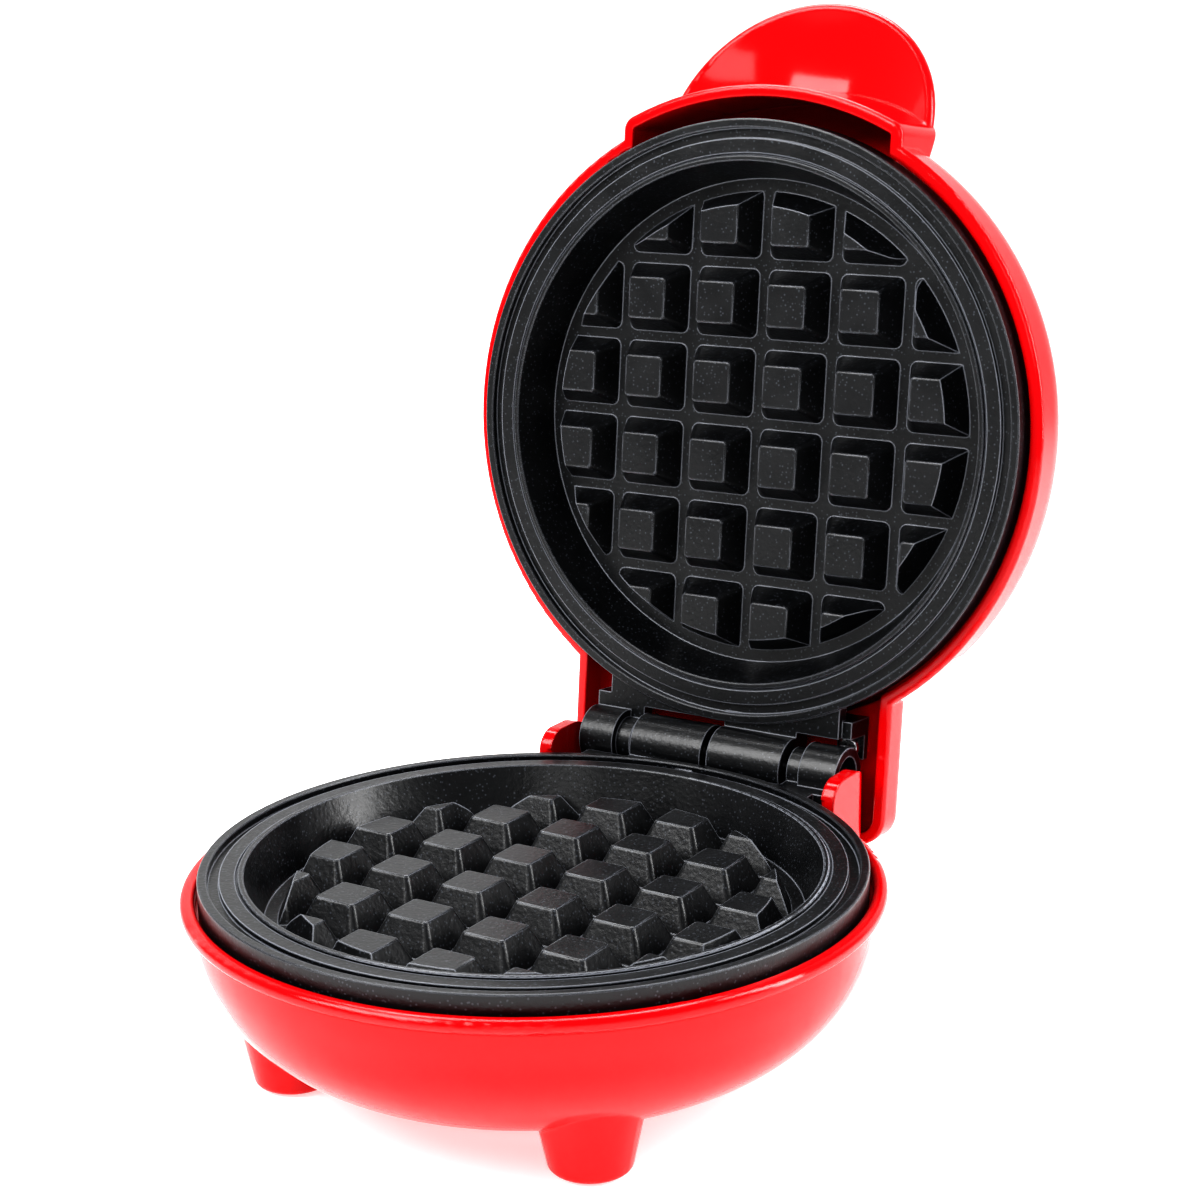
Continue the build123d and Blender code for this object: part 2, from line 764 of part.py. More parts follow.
def lid_casing():
    """The lid shell: dome, handle root, scoop and hinge box, hollowed, with its post and ribs."""
    with BuildPart() as casing:
        add(dome(0))
        add(handle_root(0))
        add(hinge_box(0))
        add(scoop_dish_shell())
        add(dome(wall), mode=Mode.SUBTRACT)
        with BuildSketch(Plane.XY.offset(seat_z)):
            Circle(rim_radius - wall / 2)
            Circle(bowl_radius - wall, mode=Mode.SUBTRACT)
        extrude(amount=-ledge_height)
        add(handle_root(wall), mode=Mode.SUBTRACT)
        add(hinge_box(wall), mode=Mode.SUBTRACT)
        add(plate_recess(), mode=Mode.SUBTRACT)
        add(hook_catches())
        post_under = -box_depth + wall / 2
        with Locations((-lug_x, lug_y, post_under)):
            post_height = -lug_depth - lug_thickness - seat_clearance - post_under
            Cylinder(lug_width / 2, post_height, align=low_centre)
        add(screw_hole(), mode=Mode.SUBTRACT)
        with Locations((0, lens_y, lens_seat_z)):
            flange_room = lens_flange_radius + lens_clearance
            Cylinder(flange_room, mating_height, align=high_centre, mode=Mode.SUBTRACT)
            Cylinder(lens_radius + lens_clearance, 2 * wall, align=low_centre, mode=Mode.SUBTRACT)
    return casing.part


def element_route():
    """The heating tube's line: most of a ring, with both ends turned to the back."""
    start = 90 + element_gap_angle
    with BuildLine(Plane.XY.offset(element_z)) as route:
        ring = CenterArc((0, 0), element_ring, start, 360 - 2 * element_gap_angle)
        right = JernArc(ring @ 1, ring % 1, element_bend, -(90 - element_gap_angle))
        Line(right @ 1, right @ 1 + right % 1 * element_tail)
        left = JernArc(ring @ 0, -(ring % 0), element_bend, 90 - element_gap_angle)
        Line(left @ 1, left @ 1 + left % 1 * element_tail)
    return route.wires()[0]


def heating_tube():
    """The sheathed tube, with its route ends square for the pins."""
    route = element_route()
    with BuildPart() as tube:
        with BuildSketch(Plane(route @ 0, z_dir=route % 0)):
            Circle(element_radius)
        sweep(path=route)
    return tube.part


def on_tube_ends(radius, length, bore):
    """A round piece on each end of the heating tube."""
    route = element_route()
    with BuildPart() as pair:
        for end in (route @ 0, route @ 1):
            with BuildSketch(Plane.XZ.offset(-end.Y)):
                with Locations((end.X, end.Z)):
                    Circle(radius)
                    if bore:
                        Circle(bore, mode=Mode.SUBTRACT)
            extrude(amount=-length)
    return pair.part


def heat_shield():
    """The tinned pan under the tube, with a window in its middle."""
    with BuildPart() as shield:
        with Locations((0, 0, shield_z)):
            Cylinder(shield_radius, shield_thickness, align=high_centre)
        with BuildSketch(Plane.XY.offset(shield_z)):
            Circle(shield_radius)
            Circle(shield_radius - shield_thickness, mode=Mode.SUBTRACT)
        extrude(amount=shield_lip)
        with Locations((0, 0, shield_z)):
            Cylinder(shield_window, 3 * shield_thickness, mode=Mode.SUBTRACT)
        with PolarLocations(shield_boss_ring, shield_boss_count, start_angle=-90):
            with Locations((0, 0, shield_z)):
                hole_radius = shield_screw_radius + shield_hole_clearance
                Cylinder(hole_radius, 3 * shield_thickness, mode=Mode.SUBTRACT)
    return shield.part


def pan_screw(shank_radius, shank_length, head_radius, head_height):
    """A pan head screw with its head's seat at z = 0 and its shank upwards."""
    with BuildPart() as screw:
        Cylinder(shank_radius, shank_length, align=low_centre)
        Cylinder(head_radius, head_height, align=high_centre)
        fillet(screw.edges().sort_by(Axis.Z)[0], head_height / 2)
        with Locations((0, 0, -head_height)):
            Box(drive_span * head_radius, drive_width * head_height, head_height, mode=Mode.SUBTRACT)
            Box(drive_width * head_height, drive_span * head_radius, head_height, mode=Mode.SUBTRACT)
    return screw.part


def small_screw(length):
    """A self-tapping pan head screw of the one size that holds the small pieces."""
    return pan_screw(small_screw_radius, length, small_screw_head_radius, small_screw_head_height)


def shield_screws():
    """The screws that hold the heat shield to the plate's bosses."""
    head_seat = shield_z - shield_thickness
    screw = pan_screw(
        shield_screw_radius, shield_screw_length, shield_screw_head_radius, shield_screw_head_height
    )
    with BuildPart() as screws:
        with PolarLocations(shield_boss_ring, shield_boss_count, start_angle=-90):
            with Locations((0, 0, head_seat)):
                add(screw)
    return screws.part


def plate_screw():
    """The screw that holds the plate's lug down on its post, head towards the hinge."""
    screw = small_screw(small_screw_length)
    with BuildPart() as placed:
        with Locations(Location((-lug_x, lug_y, -lug_depth), (180, 0, 0))):
            add(screw)
    return placed.part


def run_lead(*points):
    """A round lead along straight runs, each corner as wide as its two runs allow."""
    runs = [Vector(*b) - Vector(*a) for a, b in zip(points, points[1:])]
    bends = []
    for before, after in zip(runs, runs[1:]):
        shorter = min(before.length, after.length)
        bends.append(lead_corner_share * shorter / tan(radians(before.get_angle(after)) / 2))
    with BuildLine() as route:
        FilletPolyline(*points, radius=bends)
    with BuildPart() as lead:
        with BuildSketch(Plane(route.wire() @ 0, z_dir=route.wire() % 0)):
            Circle(lead_radius)
        sweep(path=route.wire())
    return lead.part


def thermostat_unit():
    """The snap-disc thermostat: cap against the plate, flange, body and two blades."""
    with BuildPart() as unit:
        with Locations((0, 0, cap_z)):
            Cylinder(thermostat_cap_radius, thermostat_cap_height, align=high_centre)
        with BuildSketch(Plane.XY.offset(flange_z)):
            RectangleRounded(thermostat_flange_length, thermostat_flange_width, thermostat_flange_width / 3)
            Circle(thermostat_cap_radius)
            with GridLocations(thermostat_screw_spacing, 0, 2, 1):
                Circle(small_screw_radius + shield_hole_clearance, mode=Mode.SUBTRACT)
        extrude(amount=-thermostat_flange_thickness)
        with Locations((0, 0, body_z)):
            Cylinder(thermostat_body_radius, thermostat_body_height, align=high_centre)
        with GridLocations(thermostat_blade_spacing, 0, 2, 1):
            with Locations((0, 0, blade_z)):
                Box(*thermostat_blade, align=high_centre)
    return unit.part


def thermostat_fixings():
    """The thermostat's two screws, driven up into the plate's bosses."""
    screw = small_screw(thermostat_screw_length)
    with BuildPart() as pair:
        with GridLocations(thermostat_screw_spacing, 0, 2, 1):
            with Locations((0, 0, body_z)):
                add(screw)
    return pair.part


def fuse_saddle():
    """The strap that holds the fuse up against the heat shield."""
    outer = fuse_radius + contact_gap + fuse_clip_wall
    with BuildPart() as saddle:
        with BuildSketch(Plane.YZ.offset(fuse_x - fuse_clip_length / 2)):
            with Locations((fuse_y, fuse_z)):
                Circle(outer)
            with Locations((fuse_y, (fuse_z + shield_under) / 2)):
                Rectangle(2 * outer, shield_under - fuse_z)
            with Locations((fuse_y, shield_under - fuse_clip_wall / 2)):
                Rectangle(2 * (outer + fuse_clip_foot), fuse_clip_wall)
            with Locations((fuse_y, shield_under)):
                Rectangle(2 * outer, outer, align=(Align.CENTER, Align.MIN), mode=Mode.SUBTRACT)
            with Locations((fuse_y, fuse_z)):
                Circle(fuse_radius + contact_gap, mode=Mode.SUBTRACT)
            with Locations((fuse_y, (fuse_z + shield_under) / 2)):
                Rectangle(2 * (fuse_radius + contact_gap), shield_under - fuse_z, mode=Mode.SUBTRACT)
        extrude(amount=fuse_clip_length)
    return saddle.part


def terminal_unit():
    """The two-way terminal block on its posts."""
    with BuildPart() as block:
        with Locations((0, block_y, block_z)):
            Box(block_length, block_width, block_height, align=low_centre)
        fillet(block.edges().filter_by(Axis.Z), block_edge_round)
        with Locations(Plane.XZ.offset(-block_y).location * Location((0, way_z))):
            with GridLocations(block_way_spacing, 0, 2, 1):
                Cylinder(block_way_radius, block_width, mode=Mode.SUBTRACT)
        with GridLocations(block_screw_spacing, 0, 2, 1):
            with Locations((0, block_y, block_z)):
                Cylinder(screw_hole_radius, block_height, align=low_centre, mode=Mode.SUBTRACT)
            with Locations((0, block_y, block_z + block_height)):
                Cylinder(
                    small_screw_head_radius + screw_clearance,
                    block_counterbore,
                    align=high_centre,
                    mode=Mode.SUBTRACT,
                )
    return block.part


def block_fixings():
    """The block's two screws, with their heads down in its counterbores."""
    screw = small_screw(block_screw_length)
    with BuildPart() as pair:
        with GridLocations(block_screw_spacing, 0, 2, 1):
            with Locations(Location((0, block_y, block_z + block_height - block_counterbore), (180, 0, 0))):
                add(screw)
    return pair.part


def gland_bush():
    """The cord's bush, snapped into the housing's back wall, with its flange outside."""
    with BuildPart() as bush:
        with BuildSketch(Plane.XZ.offset(-ear_back)):
            with Locations((gland_x, -gland_depth)):
                Circle(gland_flange_radius)
        extrude(amount=-gland_flange_thickness)
        fillet(bush.edges().sort_by(Axis.Y)[-1], gland_flange_thickness / 2)
        with BuildSketch(Plane.XZ.offset(-ear_back)):
            with Locations((gland_x, -gland_depth)):
                Circle(gland_radius)
        extrude(amount=wall + gland_snap_length)
        with BuildSketch(Plane.XZ.offset(-ear_back + wall + contact_gap)):
            with Locations((gland_x, -gland_depth)):
                Circle(gland_radius + gland_snap)
        extrude(amount=gland_snap_length - contact_gap)
        with BuildSketch(Plane.XZ.offset(-ear_back - gland_flange_thickness)):
            with Locations((gland_x, -gland_depth)):
                Circle(gland_bore)
        extrude(amount=wall + gland_flange_thickness + gland_snap_length, mode=Mode.SUBTRACT)
    return bush.part


def pin_with_head():
    """The hinge pin, from its head in the base's counterbore to past the retainer."""
    head_seat = end_knuckle_end - counterbore_depth
    length = 2 * head_seat + retainer_setback + retainer_length + pin_tail
    with BuildPart() as pin:
        with BuildSketch(Plane.YZ.offset(head_seat)):
            with Locations(hinge_point):
                Circle(pin_radius)
        extrude(amount=-length)
        chamfer(pin.edges().sort_by(Axis.X)[0], pin_tail / 2)
        with BuildSketch(Plane.YZ.offset(head_seat)):
            with Locations(hinge_point):
                Circle(pin_head_radius)
        extrude(amount=pin_head_length)
        fillet(pin.edges().sort_by(Axis.X)[-1], pin_head_length / 2)
    return pin.part


def push_on_ring():
    """The ring pressed on the pin's tail inside the lid's counterbore."""
    ring_start = counterbore_depth - end_knuckle_end - retainer_setback
    with BuildPart() as ring:
        with BuildSketch(Plane.YZ.offset(ring_start)):
            with Locations(hinge_point):
                Circle(retainer_radius)
                Circle(pin_radius, mode=Mode.SUBTRACT)
        extrude(amount=-retainer_length)
        fillet(ring.edges().group_by(Axis.X)[0].sort_by(SortBy.RADIUS)[-1], retainer_length / 3)
    return ring.part


def lens_button():
    """The clear button: a domed flange in its recess and a stem through the shell."""
    dome_radius = (lens_flange_radius ** 2 + lens_dome ** 2) / (2 * lens_dome)
    edge_z = lens_seat_z - lens_edge
    with BuildPart() as button:
        with BuildSketch(Plane.XZ):
            with BuildLine():
                Line((0, stem_top_z), (lens_radius, stem_top_z))
                Line((lens_radius, stem_top_z), (lens_radius, lens_seat_z))
                Line((lens_radius, lens_seat_z), (lens_flange_radius, lens_seat_z))
                Line((lens_flange_radius, lens_seat_z), (lens_flange_radius, edge_z))
                RadiusArc((lens_flange_radius, edge_z), (0, edge_z - lens_dome), dome_radius)
                Line((0, edge_z - lens_dome), (0, stem_top_z))
            make_face()
        revolve(axis=Axis.Z)
    return button.part.moved(Location((0, lens_y, 0)))


def lamp_saddle():
    """The holder pushed on the lens's stem, with the lamp through it."""
    top = -lamp_level + lamp_radius + holder_roof
    with BuildPart() as holder:
        with Locations((0, lens_y, top)):
            Cylinder(holder_radius, holder_length, align=high_centre)
        with Locations((0, lens_y, top - holder_length)):
            stem_room = stem_top_z + contact_gap - top + holder_length
            Cylinder(lens_radius + contact_gap, stem_room, align=low_centre, mode=Mode.SUBTRACT)
        with Locations(Location((0, lens_y, -lamp_level), (0, 90, 0))):
            Cylinder(lamp_radius + contact_gap, 2 * holder_radius + 1, mode=Mode.SUBTRACT)
    return holder.part


def neon_lamp():
    """The small glass lamp, lying along X."""
    with BuildPart() as lamp:
        with Locations(Location((0, lens_y, -lamp_level), (0, 90, 0))):
            Cylinder(lamp_radius, lamp_length)
        fillet(lamp.edges().filter_by(GeomType.CIRCLE), lamp_radius / 3)
    return lamp.part


def base_wiring():
    """The base's leads, each a solid of its own."""
    front = block_y - block_width / 2 - lead_end_gap
    back = block_y + block_width / 2 + lead_end_gap
    way = block_way_spacing / 2
    blade = thermostat_blade_spacing / 2
    blade_edge = thermostat_blade_width / 2 + lead_end_gap
    blade_level = body_z - thermostat_body_height - thermostat_blade_length / 2
    fuse_end = fuse_length / 2 + lead_end_gap
    end = element_route() @ 1
    pin_end = end.Y + cold_pin_length + lead_end_gap
    with BuildPart() as leads:
        add(
            run_lead(
                (-way, front, way_z),
                (-way, front - lead_straight, way_z),
                (-blade, blade_edge + lead_straight, blade_level),
                (-blade, blade_edge, blade_level),
            )
        )
        add(
            run_lead(
                (blade, -blade_edge, blade_level),
                (blade, -blade_edge - fuse_lead_straight, blade_level),
                (fuse_lead_x, (fuse_y - blade_edge) / 2 - lead_radius, fuse_z),
                (fuse_lead_x, fuse_y, fuse_z),
                (fuse_end, fuse_y, fuse_z),
            )
        )
        add(
            run_lead(
                (-fuse_end, fuse_y, fuse_z),
                (-lead_side_x, fuse_y, fuse_z),
                (-lead_side_x, block_y, -lead_level),
                (-end.X, lead_turn_y, -lead_level),
                (-end.X, lead_turn_y, element_z),
                (-end.X, pin_end, element_z),
            )
        )
        add(
            run_lead(
                (end.X, pin_end, element_z),
                (end.X, lead_turn_y, element_z),
                (end.X, lead_turn_y, -lead_level),
                (way, (block_y + lead_turn_y) / 2, way_z),
                (way, back, way_z),
            )
        )
    return leads.part


def lamp_wiring():
    """The lamp's two leads, up through the shield's window and out to the tube's pins."""
    lamp_end = lamp_length / 2 + lead_end_gap
    end = element_route() @ 1
    pin_end = end.Y + cold_pin_length + lead_end_gap
    with BuildPart() as leads:
        for side in (-1, 1):
            add(
                run_lead(
                    (side * lamp_end, lens_y, -lamp_level),
                    (side * 2 * lamp_end, lens_y, -lamp_level),
                    (side * lamp_end, lens_y / 3, -lamp_level),
                    (side * lamp_lead_x, -lens_y / 3, element_z),
                    (side * lamp_lead_x, lamp_lead_turn_y, element_z),
                    (side * end.X, lamp_lead_turn_y, element_z),
                    (side * end.X, pin_end, element_z),
                )
            )
    return leads.part


def in_base(shape):
    """A finished piece of the base half, set in its place."""
    return base_seat.from_local_coords(shape)


def in_lid(shape):
    """A finished piece of the lid half, turned over and swung open."""
    return lid_seat.from_local_coords(shape)


# Base shell, with its four feet
with BuildPart() as base_shell:
    add(in_base(base_casing()))
base_shell.part.label = "base_shell"
export_step(base_shell.part, "parts/base_shell.step")

# Rubber pads set into the feet
with BuildPart() as foot_pads:
    for x, y, _ in foot_places:
        with Locations((x, plate_y + y, 0)):
            Cylinder(pad_radius, pad_height, align=low_centre)
    fillet(foot_pads.edges().group_by(Axis.Z)[0], pad_stand / 2)
foot_pads.part.label = "foot_pads"
export_step(foot_pads.part, "parts/foot_pads.step")

# The two plates are the same casting
casting = cooking_plate()
with BuildPart() as base_plate:
    add(in_base(casting))
base_plate.part.label = "base_plate"
export_step(base_plate.part, "parts/base_plate.step")
with BuildPart() as lid_plate:
    add(in_lid(casting))
lid_plate.part.label = "lid_plate"
export_step(lid_plate.part, "parts/lid_plate.step")

# Heating tubes with their pins and insulating beads
tube = heating_tube()
pins = on_tube_ends(cold_pin_radius, cold_pin_length, 0)
beads = on_tube_ends(bead_radius, bead_length, cold_pin_radius + bead_clearance)
with BuildPart() as base_element:
    add(in_base(tube))
base_element.part.label = "base_element"
export_step(base_element.part, "parts/base_element.step")
with BuildPart() as lid_element:
    add(in_lid(tube))
lid_element.part.label = "lid_element"
export_step(lid_element.part, "parts/lid_element.step")
with BuildPart() as base_element_pins:
    add(in_base(pins))
base_element_pins.part.label = "base_element_pins"
export_step(base_element_pins.part, "parts/base_element_pins.step")
with BuildPart() as lid_element_pins:
    add(in_lid(pins))
lid_element_pins.part.label = "lid_element_pins"
export_step(lid_element_pins.part, "parts/lid_element_pins.step")
with BuildPart() as base_element_beads:
    add(in_base(beads))
base_element_beads.part.label = "base_element_beads"
export_step(base_element_beads.part, "parts/base_element_beads.step")
with BuildPart() as lid_element_beads:
    add(in_lid(beads))
lid_element_beads.part.label = "lid_element_beads"
export_step(lid_element_beads.part, "parts/lid_element_beads.step")

# Heat shields and their screws
pan = heat_shield()
pan_screws = shield_screws()
with BuildPart() as base_heat_shield:
    add(in_base(pan))
base_heat_shield.part.label = "base_heat_shield"
export_step(base_heat_shield.part, "parts/base_heat_shield.step")
with BuildPart() as lid_heat_shield:
    add(in_lid(pan))
lid_heat_shield.part.label = "lid_heat_shield"
export_step(lid_heat_shield.part, "parts/lid_heat_shield.step")
with BuildPart() as base_shield_screws:
    add(in_base(pan_screws))
base_shield_screws.part.label = "base_shield_screws"
export_step(base_shield_screws.part, "parts/base_shield_screws.step")
with BuildPart() as lid_shield_screws:
    add(in_lid(pan_screws))
lid_shield_screws.part.label = "lid_shield_screws"
export_step(lid_shield_screws.part, "parts/lid_shield_screws.step")

# The screw that holds each plate to its shell
lug_screw = plate_screw()
with BuildPart() as base_plate_screw:
    add(in_base(lug_screw))
base_plate_screw.part.label = "base_plate_screw"
export_step(base_plate_screw.part, "parts/base_plate_screw.step")
with BuildPart() as lid_plate_screw:
    add(in_lid(lug_screw))
lid_plate_screw.part.label = "lid_plate_screw"
export_step(lid_plate_screw.part, "parts/lid_plate_screw.step")

# Thermostat on the base plate, with its screws
with BuildPart() as thermostat:
    add(in_base(thermostat_unit()))
thermostat.part.label = "thermostat"
export_step(thermostat.part, "parts/thermostat.step")
with BuildPart() as thermostat_screws:
    add(in_base(thermostat_fixings()))
thermostat_screws.part.label = "thermostat_screws"
export_step(thermostat_screws.part, "parts/thermostat_screws.step")

# Thermal fuse and its clip
with BuildPart(base_seat) as thermal_fuse:
    with Locations(Location((fuse_x, fuse_y, fuse_z), (0, 90, 0))):
        Cylinder(fuse_radius, fuse_length)
    fillet(thermal_fuse.edges().filter_by(GeomType.CIRCLE), fuse_radius / 4)
thermal_fuse.part.label = "thermal_fuse"
export_step(thermal_fuse.part, "parts/thermal_fuse.step")
with BuildPart() as fuse_clip:
    add(in_base(fuse_saddle()))
fuse_clip.part.label = "fuse_clip"
export_step(fuse_clip.part, "parts/fuse_clip.step")

# Terminal block and its screws
with BuildPart() as terminal_block:
    add(in_base(terminal_unit()))
terminal_block.part.label = "terminal_block"
export_step(terminal_block.part, "parts/terminal_block.step")
with BuildPart() as terminal_block_screws:
    add(in_base(block_fixings()))
terminal_block_screws.part.label = "terminal_block_screws"
export_step(terminal_block_screws.part, "parts/terminal_block_screws.step")

# Leads, clear of everything that moves
with BuildPart() as base_leads:
    add(in_base(base_wiring()))
base_leads.part.label = "base_leads"
export_step(base_leads.part, "parts/base_leads.step")
with BuildPart() as lid_leads:
    add(in_lid(lamp_wiring()))
lid_leads.part.label = "lid_leads"
export_step(lid_leads.part, "parts/lid_leads.step")

# The cord's bush in the base's back wall
with BuildPart() as cord_gland:
    add(in_base(gland_bush()))
cord_gland.part.label = "cord_gland"
export_step(cord_gland.part, "parts/cord_gland.step")

# Hinge pin and its ring
with BuildPart() as hinge_pin:
    add(in_base(pin_with_head()))
hinge_pin.part.label = "hinge_pin"
export_step(hinge_pin.part, "parts/hinge_pin.step")
with BuildPart() as pin_retainer:
    add(in_base(push_on_ring()))
pin_retainer.part.label = "pin_retainer"
export_step(pin_retainer.part, "parts/pin_retainer.step")

# Lid shell
with BuildPart() as lid_shell:
    add(in_lid(lid_casing()))
lid_shell.part.label = "lid_shell"
export_step(lid_shell.part, "parts/lid_shell.step")

# Indicator in the lid
with BuildPart() as indicator_lens:
    add(in_lid(lens_button()))
indicator_lens.part.label = "indicator_lens"
export_step(indicator_lens.part, "parts/indicator_lens.step")
with BuildPart() as indicator_lamp:
    add(in_lid(neon_lamp()))
indicator_lamp.part.label = "indicator_lamp"
export_step(indicator_lamp.part, "parts/indicator_lamp.step")
with BuildPart() as lamp_holder:
    add(in_lid(lamp_saddle()))
lamp_holder.part.label = "lamp_holder"
export_step(lamp_holder.part, "parts/lamp_holder.step")
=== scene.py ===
# %% [markdown]
# # A mini waffle maker, standing open
#
# A red moulded clamshell with two dark cast cooking plates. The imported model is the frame: it
# holds every piece at its real size and place. This file adds what makes the pieces look real:
# the finish of each surface, a studio and a camera.

# %% Load the frame
import json
import math

import bpy
import numpy as np
from mathutils import Matrix, Vector

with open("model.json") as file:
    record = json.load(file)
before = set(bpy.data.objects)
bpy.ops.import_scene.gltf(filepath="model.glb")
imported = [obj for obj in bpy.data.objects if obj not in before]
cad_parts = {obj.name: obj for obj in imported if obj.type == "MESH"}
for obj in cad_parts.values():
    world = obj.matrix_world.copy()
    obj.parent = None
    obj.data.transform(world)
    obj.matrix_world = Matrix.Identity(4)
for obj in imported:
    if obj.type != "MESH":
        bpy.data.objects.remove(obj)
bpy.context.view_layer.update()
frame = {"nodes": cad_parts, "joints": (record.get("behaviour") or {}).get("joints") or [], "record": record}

nodes = frame["nodes"]
mm = 0.001

# %% [markdown]
# Both halves are described from the middle of their cooking plate, in the plane where the two
# plates meet when the lid is shut. The hinge gives that place: the pin lies in that plane, at a
# known distance behind the middle of the plate.

# %% Where the halves are
hinge = Vector(frame["joints"][0]["pos_m"])
hinge_reach = 67.3 * mm
base_centre = hinge - Vector((0, hinge_reach, 0))
print("base plate's middle:", [round(c / mm, 2) for c in base_centre])

# %% [markdown]
# The camera stands where the photographer stood. Its angles, its distance and its aim were
# worked out from the outlines of both plates in the photograph, so the picture can be laid over it.

# %% Camera
view_azimuth = math.radians(32.21)
view_elevation = math.radians(14.52)
view_roll = math.radians(-0.70)
view_distance = 422.54 * mm
view_aim = (12.416 * mm, 50.096 * mm)
aim_drop = 4.128 * mm
focal_pixels = 2332.68
frame_pixels = 1200
sensor_width = 36.0

back = Vector((
    math.sin(view_azimuth) * math.cos(view_elevation),
    -math.cos(view_azimuth) * math.cos(view_elevation),
    math.sin(view_elevation),
))
right = Vector((math.cos(view_azimuth), math.sin(view_azimuth), 0))
up = back.cross(right)
eye = base_centre + back * view_distance + right * view_aim[0] + up * view_aim[1] - Vector((0, 0, aim_drop))
right_rolled = right * math.cos(view_roll) + up * math.sin(view_roll)
up_rolled = up * math.cos(view_roll) - right * math.sin(view_roll)
camera_data = bpy.data.cameras.new("studio_camera")
camera_data.sensor_width = sensor_width
camera_data.lens = focal_pixels / frame_pixels * sensor_width
camera_data.clip_start = 0.01
camera = bpy.data.objects.new("studio_camera", camera_data)
bpy.context.scene.collection.objects.link(camera)
turn = Matrix((right_rolled, up_rolled, back)).transposed()
camera.matrix_world = Matrix.Translation(eye) @ turn.to_4x4()
bpy.context.scene.camera = camera
print("lens:", round(camera_data.lens, 2), "mm")

# %% [markdown]
# Colours are written the way a designer reads them, as sRGB hex values, and turned to the linear
# values that light needs by one function. A second function adds a shader node with its settings.

# %% Colour and node helpers
# Most of a noise texture's values lie between these two
noise_low = 0.3
noise_high = 0.7


def linear(hex_value):
    """sRGB hex to linear RGBA: c / 12.92 below 0.04045, else ((c + 0.055) / 1.055) ** 2.4."""
    c = np.array([int(hex_value[i:i + 2], 16) for i in (1, 3, 5)]) / 255
    c = np.where(c <= 0.04045, c / 12.92, ((c + 0.055) / 1.055) ** 2.4)
    return (*c.tolist(), 1.0)


def add(tree, kind, settings=None, **inputs):
    """Adds a node. settings are its own options, inputs are values or sockets for its inputs."""
    node = tree.nodes.new(kind)
    for name, value in (settings or {}).items():
        setattr(node, name, value)
    for name, value in inputs.items():
        socket = node.inputs[int(name[1:])] if name[0] == "_" else node.inputs[name.replace("_", " ")]
        if isinstance(value, bpy.types.NodeSocket):
            tree.links.new(value, socket)
        else:
            socket.default_value = value
    return node


def new_material(name, base, **shader):
    """A new material. Returns it with its tree, its Principled shader and its object coordinates."""
    material = bpy.data.materials.new(name)
    material.use_nodes = True
    tree = material.node_tree
    tree.nodes.clear()
    surface = add(tree, "ShaderNodeBsdfPrincipled", **{"Base_Color": base, **shader})
    output = add(tree, "ShaderNodeOutputMaterial", _0=surface.outputs[0])
    output.location.x = 300
    coordinates = add(tree, "ShaderNodeTexCoord").outputs["Object"]
    return material, tree, surface, coordinates


def shade_between(tree, factor, first, last, start=noise_low, end=noise_high):
    """The colour that goes from first to last while factor goes from start to end."""
    share = add(tree, "ShaderNodeMapRange", _0=factor, _1=start, _2=end).outputs[0]
    return add(tree, "ShaderNodeMix", {"data_type": "RGBA"}, _0=share, _6=first, _7=last).outputs[2]


def grey(level):
    """A neutral linear colour."""
    return (level, level, level, 1.0)


print("the shells' red in linear light:", [round(c, 3) for c in linear("#C8000A")])

# %% [markdown]
# ## The red shells
#
# The shells are glossy ABS, coloured right through and moulded in a polished steel mould. What
# the eye sees is a saturated red with hard, clean reflections. The walls are thick enough to
# look solid. Polished mouldings are never quite flat: a very shallow ripple, some tens of
# millimetres long, bends the reflections a little, and the gloss has faint cloudy patches.

# %% Glossy red ABS
def glossy_red_abs():
    cloud_size = 22 * mm
    ripple_size = 30 * mm
    grain_size = 0.7 * mm
    edge_radius = 0.8 * mm
    material, tree, surface, place = new_material(
        "moulded_glossy_red_abs", linear("#C4000A"),
        Roughness=0.08, IOR=1.53, Specular_IOR_Level=0.26,
    )
    cloud = add(tree, "ShaderNodeTexNoise", Vector=place, Scale=1 / cloud_size, Detail=3.0).outputs[0]
    red = shade_between(tree, cloud, linear("#BE0008"), linear("#C8000A"))
    tree.links.new(red, surface.inputs["Base Color"])
    gloss = add(tree, "ShaderNodeMapRange", _0=cloud, _1=noise_low, _2=noise_high, _3=0.07, _4=0.12)
    tree.links.new(gloss.outputs[0], surface.inputs["Roughness"])
    ripple = add(tree, "ShaderNodeTexNoise", Vector=place, Scale=1 / ripple_size, Detail=1.0).outputs[0]
    grain = add(tree, "ShaderNodeTexNoise", Vector=place, Scale=1 / grain_size, Detail=2.0).outputs[0]
    rounded = add(tree, "ShaderNodeBevel", {"samples": 6}, Radius=edge_radius).outputs[0]
    wavy = add(tree, "ShaderNodeBump", Height=ripple, Strength=0.10, Distance=1.2 * mm, Normal=rounded)
    fine = add(
        tree, "ShaderNodeBump", Height=grain, Strength=0.03, Distance=0.02 * mm, Normal=wavy.outputs[0])
    tree.links.new(fine.outputs[0], surface.inputs["Normal"])
    return material


red_abs = glossy_red_abs()
print(red_abs.name, len(red_abs.node_tree.nodes), "nodes")
